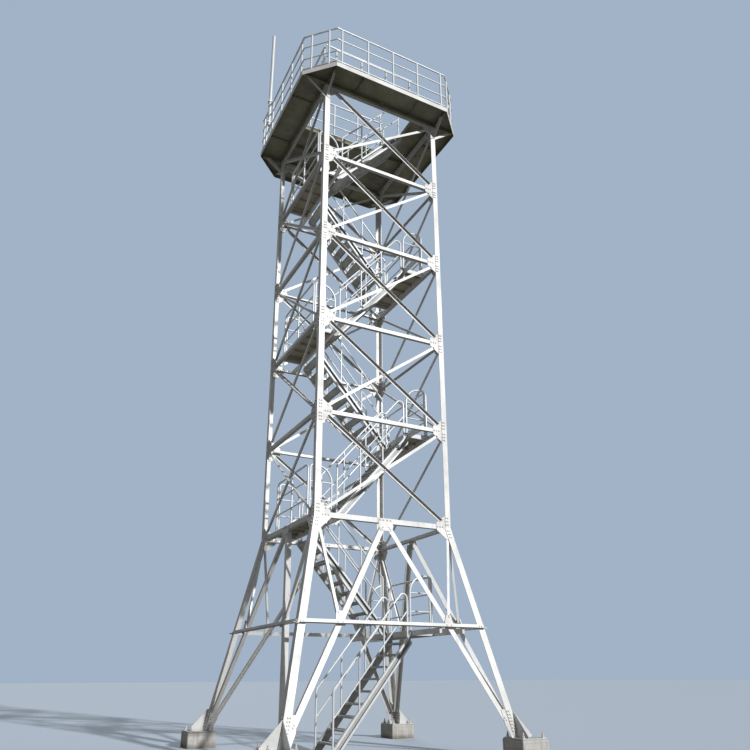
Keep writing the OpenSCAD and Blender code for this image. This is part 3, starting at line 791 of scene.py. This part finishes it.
def make_anchor_bolts():
    """Four anchor studs in each base plate, with a square washer and two nuts."""
    top = PEDESTAL_H + BASE_PLATE_T
    washer, nut_r, stud_r = 0.040, 0.027, 0.015
    plate = block("anchor_washer", (-washer, -washer, top), (washer, washer, top + 0.010), 0.002)
    lower = disc("anchor_nut", nut_r, top + 0.010, top + 0.034, 6, 0.003)
    upper = disc("lock_nut", nut_r, top + 0.035, top + 0.052, 6, 0.003)
    stud = disc("stud", stud_r, top + 0.052, top + 0.100, 12, 0.004)
    master = merge([plate, lower, upper, stud], "anchor")
    middle = FOOT + PEDESTAL_OUT
    spread = BASE_PLATE_W / 2 - 0.055
    places = [turned(i) @ moved(-middle + dx, -middle + dy, 0)
              for i in range(4) for dx in (-spread, spread) for dy in (-spread, spread)]
    hand_in(repeated(master, places, "anchor_bolts"), BOLT_ZINC)


def make_pedestals():
    """Concrete pedestals with chamfered edges and a fillet of mortar round the base plate."""
    centre = FOOT + PEDESTAL_OUT
    half = PEDESTAL_W / 2
    body = block("pedestal", (-half, -half, 0), (half, half, PEDESTAL_H))
    pick_edges(body, lambda a, b: max(a.z, b.z) > 0.01)
    bpy.ops.mesh.bevel(offset=0.016, segments=2, affect="EDGES")
    bpy.ops.object.mode_set(mode="OBJECT")
    bed_half, bed_top = 0.296, PEDESTAL_H + 0.012
    bed = block("mortar", (-bed_half, -bed_half, PEDESTAL_H - 0.004), (bed_half, bed_half, bed_top))
    pick_faces(bed, lambda middle, normal: normal.z > 0.9)
    bpy.ops.transform.resize(value=(0.955, 0.955, 1), center_override=(0, 0, bed_top))
    bpy.ops.object.mode_set(mode="OBJECT")
    places = [turned(i) @ moved(-centre, -centre, 0) for i in range(4)]
    piece = repeated(body, places, "cast_pedestals")
    hand_in(piece, CONCRETE)
    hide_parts("pedestals")
    hand_in(repeated(bed, places, "mortar_beds"), MORTAR)


def side_of(n):
    """Landings with odd numbers stand on the right, the others on the left."""
    return AS_IT_IS if n % 2 == 1 else FLIP_X


def guard_part(name, corners, post_r, bends, steps):
    """Hoop of a guard through four corner points, with two rails between its posts."""
    start, finish = Vector(corners[0]), Vector(corners[-1])
    tubes = [bent_tube("guard_hoop", corners, post_r, bends, 14, steps)]
    for share in (1, 2):
        lift = Vector((0, 0, GUARD_H * share / 3))
        tubes.append(bent_tube("guard_rail", [start + lift, finish + lift], MID_TUBE / 2, [], 12))
    return merge(tubes, name)


def make_landing_guards():
    """Guards of the landings: bent top tubes, two rails each, and feet bolted to the floor."""
    r = GUARD_TUBE / 2
    inner, outer = LANDING_EDGE - 0.012, GUARD_LINE - GUARD_TUBE - 0.005
    rise = GUARD_H - r
    corners = [(inner, 0, 0), (inner, 0, rise), (outer, 0, rise), (outer, 0, 0)]
    long_bend, short_bend, end_bend = rise - GUARD_H * 2 / 3, 0.060, 0.110
    side = guard_part("guard_side", corners, r, [long_bend, short_bend], 9)
    corners = [(0, -GUARD_SIDE, 0), (0, -GUARD_SIDE, rise), (0, GUARD_SIDE, rise), (0, GUARD_SIDE, 0)]
    end = guard_part("guard_hoop_end", corners, r, [end_bend, end_bend], 7)
    post = bent_tube("guard_post", [(0, 0, 0), (0, 0, rise)], r, [], 14)
    end = merge([end, post], "guard_end")
    foot = block("guard_foot", (-0.042, -0.030, 0), (0.042, 0.030, POST_FOOT_T), 0.0015)
    collar = disc("weld", r + 0.005, 0.007, 0.015, 14, 0.005)
    foot = merge([foot, collar, foot_screws(0.031, 0.6)], "guard_foot")
    sides, ends, feet = [], [], []
    for n in range(1, LANDINGS + 1):
        base = side_of(n) @ moved(0, 0, FLOORS[n])
        for y in (-GUARD_SIDE, GUARD_SIDE):
            sides.append(base @ moved(0, y, 0))
            feet.append(base @ moved(inner, y, 0))
            feet.append(base @ moved(outer, y, 0))
        ends.append(base @ moved(GUARD_LINE, 0, 0))
        for y in (-GUARD_SIDE, 0, GUARD_SIDE):
            feet.append(base @ moved(GUARD_LINE, y, 0) @ turned(1))
    tubes = merge([repeated(side, sides, "sides"), repeated(end, ends, "ends")], "bent_guards")
    hand_in(tubes, TUBE_ZINC)
    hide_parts("landing_guards")
    hand_in(repeated(foot, feet, "guard_feet"), GUSSET_ZINC)


def make_landing_ends():
    """Channels that close the ends of each landing, and ribs under its floor."""
    deep, rib_deep, rib_pitch, edge = 0.090, 0.050, 0.372, 0.0012
    x0, x1 = LANDING_EDGE + LANDING_FRAME_W, LANDING_OUTER - LANDING_FRAME_W
    y = LANDING_W / 2
    top = -FLOOR_T
    low = top - deep
    web = block("end_web", (x0, y - 0.007, low), (x1, y - 0.001, top), edge)
    lip = block("end_lip", (x0, y - 0.046, low - 0.006), (x1, y - 0.001, low), edge)
    bar = merge([web, lip], "landing_end")
    rib = block("rib", (x0 + 0.002, -0.003, top - rib_deep), (x1 - 0.002, 0.003, top), edge)
    bars, ribs = [], []
    for n in range(1, LANDINGS + 1):
        base = side_of(n) @ moved(0, 0, FLOORS[n])
        bars += [base, base @ FLIP_Y]
        ribs += [base @ moved(0, k * rib_pitch, 0) for k in (-2, -1, 0, 1, 2)]
    hand_in(repeated(bar, bars, "landing_ends"), STRINGER_ZINC)
    hand_in(repeated(rib, ribs, "landing_ribs"), LANDING_STEEL)


def lane_of(n):
    """Odd flights rise along +X in the front lane, even ones along -X in the rear lane."""
    if n % 2 == 1:
        return moved(0, -LANE_Y, 0)
    return FLIP_X @ moved(0, LANE_Y, 0)


def both_sides(n):
    """Places of the two sides of flight n, from its -Y side."""
    return [lane_of(n), lane_of(n) @ FLIP_Y]


def sloping_bar(name, y0, y1, drop, deep, z0, rise):
    """Bar along a flight, its upper face a drop below the line of the noses."""
    bar = block(name, (-LANDING_EDGE, y0, z0 - drop - deep), (LANDING_EDGE, y1, z0 - drop))
    pick_faces(bar, lambda middle, normal: normal.x > 0.9)
    bpy.ops.transform.translate(value=(0, 0, rise))
    bpy.ops.object.mode_set(mode="OBJECT")
    return bar


def cut_below(piece, z):
    """Cuts a piece off level at a height and closes the cut."""
    choose(piece)
    bpy.ops.object.mode_set(mode="EDIT")
    bpy.ops.mesh.select_all(action="SELECT")
    bpy.ops.mesh.bisect(plane_co=(0, 0, z), plane_no=(0, 0, 1), clear_inner=True, use_fill=True)
    bpy.ops.object.mode_set(mode="OBJECT")


def stringer_parts(n, drop):
    """Web, and flanges with lips, of the -Y side of flight n."""
    z0, rise = FLOORS[n - 1], FLOORS[n] - FLOORS[n - 1]
    secant = math.hypot(1, rise / FLIGHT_RUN)
    deep, thick, lip = STRINGER_D * secant, STRINGER_T * secant, STRINGER_LIP * secant
    lowest = 0.0 if n == 1 else z0 - FLOOR_T - LANDING_FRAME_H
    outer = -FLIGHT_W / 2
    inner = outer + STRINGER_FLANGE
    web = sloping_bar("web", inner - STRINGER_T, inner, drop, deep, z0, rise)
    flanges = [sloping_bar("flange", outer, inner - STRINGER_T, d, thick, z0, rise)
               for d in (drop, drop + deep - thick)]
    flanges += [sloping_bar("lip", outer, outer + STRINGER_T, d, lip, z0, rise)
                for d in (drop + thick, drop + deep - thick - lip)]
    for bar in [web] + flanges:
        cut_below(bar, lowest)
    return web, merge(flanges, "flanges")


def handrail_parts(n, drop):
    """Bent handrail, middle rail and posts of the -Y side of flight n."""
    z0, rise = FLOORS[n - 1], FLOORS[n] - FLOORS[n - 1]
    slope = rise / FLIGHT_RUN
    y = -FLIGHT_W / 2 + STRINGER_FLANGE / 2
    first_gap, last_gap, bend = 0.130, 0.090, 0.090
    gap = (FLIGHT_RUN - first_gap - last_gap) / (STAIR_POSTS - 1)
    spots = [-LANDING_EDGE + first_gap + k * gap for k in range(STAIR_POSTS)]

    def above(x, height):
        return Vector((x, y, z0 + (x + LANDING_EDGE) * slope - drop + height))

    first, last = spots[0], spots[-1]
    hoop = [above(first, -POST_ROOT), above(first, HANDRAIL_H), above(last, HANDRAIL_H),
            above(last, -POST_ROOT)]
    middle = [above(first, HANDRAIL_H / 2), above(last, HANDRAIL_H / 2)]
    tubes = [bent_tube("hoop", hoop, GUARD_TUBE / 2 - 0.001, [bend, bend], 12, 5),
             bent_tube("rail", middle, MID_TUBE / 2, [], 10)]
    for x in spots[1:-1]:
        post = [above(x, -POST_ROOT), above(x, HANDRAIL_H)]
        tubes.append(bent_tube("post", post, STAIR_POST_TUBE / 2, [], 10))
    return merge(tubes, "tubes")


def flight_parts(n):
    """Web, flanges and handrail of the -Y side of flight n, along +X on the middle of its lane."""
    slope = (FLOORS[n] - FLOORS[n - 1]) / FLIGHT_RUN
    drop = TREAD_D / 2 * slope + TREAD_LIP / 2 - STRINGER_D * math.hypot(1, slope) / 2
    web, flanges = stringer_parts(n, drop)
    return web, flanges, handrail_parts(n, drop)


def make_flights():
    """Stair flights: lipped channels open to the outside, posts and bent handrails."""
    webs, flanges, tubes = [], [], []
    for n in range(1, FLIGHTS + 1):
        for part, made in zip(flight_parts(n), (webs, flanges, tubes)):
            made.append(repeated(part, both_sides(n), part.name))
    nodes = ["flight_%d" % n for n in range(1, FLIGHTS + 1)]
    # The webs get the zinc darkened with painted shade
    piece = hand_in(merge(webs, "stringer_webs"), SHADED_WEB_ZINC)
    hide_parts(*nodes)
    hand_in(merge(flanges, "stringer_flanges"), STRINGER_ZINC)
    hand_in(merge(tubes, "stair_handrails"), TUBE_ZINC)


def make_flight_feet():
    """Foot plates of the first flight on the ground, with an anchor bolt at each end."""
    outer = -FLIGHT_W / 2
    x0, x1, border, thick, bolt_in = -0.955, -0.645, 0.015, 0.010, 0.025
    plate = block("foot_plate", (x0, outer - border, 0), (x1, outer + STRINGER_FLANGE + border, thick), 0.002)
    places = [moved(x, outer + STRINGER_FLANGE / 2, thick) for x in (x0 + bolt_in, x1 - bolt_in)]
    foot = merge([plate, repeated(bolt_nut(), places, "foot_bolts")], "bolted_foot")
    hand_in(repeated(foot, both_sides(1), "flight_feet"), GUSSET_ZINC)


def make_tread_cleats():
    """Angle cleats with two bolts that carry the ends of each tread on the webs."""
    x0, x1, thick, top, edge = 0.030, 0.170, 0.005, -0.0055, 0.001
    upright_leg = block("cleat_side", (x0, 0, -0.050), (x1, thick, top), edge)
    flat_leg = block("cleat_top", (x0, 0, top - thick), (x1, 0.042, top), edge)
    cleat = merge([upright_leg, flat_leg], "cleat")
    ends = []
    for master, y, turn in ((bolt_nut(), thick, -90), (bolt_head(), -STRINGER_T, 90)):
        seat = Matrix.Rotation(math.radians(turn), 4, "X") @ Matrix.Scale(0.55, 4)
        spots = [moved(x, y, -0.030) @ seat for x in (0.065, 0.135)]
        ends.append(repeated(master, spots, "bolt_ends"))
    bolts = merge(ends, "bolt_pairs")
    places = []
    web = moved(0, STRINGER_FLANGE - FLIGHT_W / 2, 0)
    for n in range(1, FLIGHTS + 1):
        rise = (FLOORS[n] - FLOORS[n - 1]) / RISERS
        for k in range(1, RISERS):
            x = -LANDING_EDGE + k * FLIGHT_RUN / RISERS
            at = moved(x, 0, FLOORS[n - 1] + k * rise) @ web
            places += [side @ at for side in both_sides(n)]
    hand_in(repeated(cleat, places, "tread_cleats"), STRINGER_ZINC)
    hand_in(repeated(bolts, places, "cleat_bolts"), BOLT_ZINC)


def make_rail_elbows():
    """Bent sleeves that carry the deck rails round its eight corners."""
    corner = Vector((RAIL_FLAT, -RAIL_HALF, 0))
    along, aside = Vector((-1, 0, 0)), Vector((1, 1, 0)).normalized()
    reach, bend, sleeve = 0.075, 0.055, 0.0025
    made = []
    for z in RAIL_HEIGHTS:
        tube = GUARD_TUBE if z == RAIL_HEIGHTS[-1] else MID_TUBE
        lift = Vector((0, 0, DECK_Z + z))
        points = [corner + along * reach + lift, corner + lift, corner + aside * reach + lift]
        made.append(bent_tube("elbow_bend", points, tube / 2 + sleeve, [bend], 14, 5))
    elbow = merge(made, "elbow")
    places = [turned(i) @ flip for i in range(4) for flip in (AS_IT_IS, FLIP_X)]
    hand_in(repeated(elbow, places, "rail_elbows"), TUBE_ZINC)


def make_rail_feet():
    """Foot plates with a weld bead and two bolts under the posts of the deck railing."""
    plate = block("foot", (-0.062, -0.027, 0), (0.062, 0.030, POST_FOOT_T), 0.0015)
    bead = disc("weld", POST_TUBE / 2 + 0.006, 0.007, 0.016, 16, 0.006)
    foot = merge([plate, bead, foot_screws(0.046, 0.62)], "rail_foot")
    cut_line = (RAIL_HALF + RAIL_FLAT) / math.sqrt(2)
    places = []
    for i in range(4):
        places += [turned(i) @ moved(j * RAILING_PITCH, -RAIL_HALF, DECK_Z) for j in range(-2, 3)]
        corner = turned(i) @ Matrix.Rotation(math.radians(45), 4, "Z")
        places += [corner @ moved(side * CORNER_PITCH / 2, -cut_line, DECK_Z) for side in (-1, 1)]
    hand_in(repeated(foot, places, "rail_feet"), GUSSET_ZINC)


def make_deck_strips():
    """Flat bars under the deck sheets: cover strips of the seams and stiffeners between."""
    z = DECK_Z - DECK_PLATE_T
    edge = DECK_HALF - 0.012
    beam = HALF - INNER + 0.056
    bevel, rib_x = 0.0012, 0.76
    strip = block("strip", (-0.022, -edge, z - 0.006), (0.022, -beam, z), bevel)
    rib = block("rib", (-0.003, -edge, z - 0.055), (0.003, -beam, z), bevel)
    strips = [turned(i) for i in range(4)]
    ribs = [turned(i) @ moved(x, 0, 0) for i in range(4) for x in (-rib_x, rib_x)]
    hand_in(repeated(strip, strips, "seam_strips"), DECK_RIB)
    hand_in(repeated(rib, ribs, "deck_ribs"), DECK_RIB)


def make_knee_bolts():
    """Two bolts at the foot of each knee brace, through the leg flange."""
    knee_deep = 0.330
    low_z = DECK_FRAME_Z - knee_deep + 0.012
    spots = ((-HALF + 0.058, low_z - 0.030), (-HALF + 0.100, low_z - 0.062))
    head, nut = bolt_head(), bolt_nut()
    heads, nuts = [], []
    for i in range(4):
        for flip in (AS_IT_IS, FLIP_X):
            for x, z in spots:
                heads.append(turned(i) @ flip @ aimed(Vector((x, -HALF, z)), UPRIGHT))
                nuts.append(turned(i) @ flip @ aimed(Vector((x, -HALF + INNER + BRACE_T, z)), -UPRIGHT))
    piece = merge([repeated(head, heads, "heads"), repeated(nut, nuts, "nuts")], "knee_bolts")
    hand_in(piece, BOLT_ZINC)


def make_mast_fittings():
    """Cap of the mast, and the bolts of its two clamps."""
    mast_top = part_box("lightning_mast")[1][2]
    rail_x = -DECK_HALF + RAILING_IN
    x = rail_x - GUARD_TUBE / 2 - MAST_TUBE / 2 - 0.008
    cap = disc("mast_cap", MAST_TUBE / 2 + 0.003, mast_top - 0.040, mast_top + 0.004, 24, 0.004)
    cap.data.transform(moved(x, MAST_Y, 0))
    smooth(cap)
    hand_in(cap, TUBE_ZINC)
    bolt_out, bolt_gap = 0.030, 0.012
    places = []
    for z in (RAIL_HEIGHTS[1], RAIL_HEIGHTS[3]):
        for side in (-1, 1):
            for dx in (-bolt_out, bolt_out):
                point = Vector((x + dx, MAST_Y + side * (MAST_TUBE / 2 + bolt_gap), DECK_Z + z))
                places.append(aimed(point, Vector((0, side, 0))) @ Matrix.Scale(0.8, 4))
    hand_in(repeated(bolt_head(), places, "clamp_bolts"), BOLT_ZINC)


def set_stage():
    """Pale floor that keeps the shadow, and a plain pale surround."""
    clear_selection()
    bpy.ops.mesh.primitive_plane_add(size=FLOOR_SIZE, location=(0, 0, 0))
    floor = bpy.context.object
    floor.name = "studio_floor"
    material = bpy.data.materials.new("studio_floor")
    material.use_nodes = True
    floor_tree = material.node_tree
    shader = floor_tree.nodes["Principled BSDF"]
    shader.inputs["Roughness"].default_value = 0.9
    seen_floor = add_node(floor_tree, "LightPath").outputs["Is Camera Ray"]
    join(floor_tree, mixed(floor_tree, seen_floor, FLOOR_BOUNCE, FLOOR_SEEN), shader.inputs["Base Color"])
    floor.data.materials.append(material)
    world = bpy.data.worlds.new("studio")
    bpy.context.scene.world = world
    world.use_nodes = True
    tree = world.node_tree
    fill = tree.nodes["Background"]
    fill.inputs["Color"].default_value = SURROUND_LIGHT
    fill.inputs["Strength"].default_value = SURROUND_STRENGTH
    seen = add_node(tree, "Background")
    seen.inputs["Color"].default_value = SURROUND_SEEN
    path = add_node(tree, "LightPath")
    shown = maths(tree, "MAXIMUM", path.outputs["Is Camera Ray"], path.outputs["Is Transmission Ray"])
    blend = add_node(tree, "MixShader")
    join(tree, shown, blend.inputs[0])
    join(tree, fill.outputs[0], blend.inputs[1])
    join(tree, seen.outputs[0], blend.inputs[2])
    join(tree, blend.outputs[0], tree.nodes["World Output"].inputs["Surface"])


set_camera()
add_lamp("key_lamp", azimuth=15, height=25, strength=2.9, softness=2, tint=(1.0, 0.99, 0.97))
add_lamp("fill_lamp", azimuth=70, height=20, strength=0.25, softness=40, tint=(0.94, 0.97, 1.0))
add_lamp("back_lamp", azimuth=172, height=30, strength=0.75, softness=30, tint=(0.94, 0.97, 1.0))
set_stage()
dress_nodes()
make_pedestals()
make_anchor_bolts()
make_face_bolts()
make_spacers()
make_knee_bolts()
make_landing_guards()
make_landing_ends()
make_flights()
make_flight_feet()
make_tread_cleats()
make_rail_elbows()
make_rail_feet()
make_deck_strips()
make_mast_fittings()

bpy.context.scene.view_settings.view_transform = "Standard"
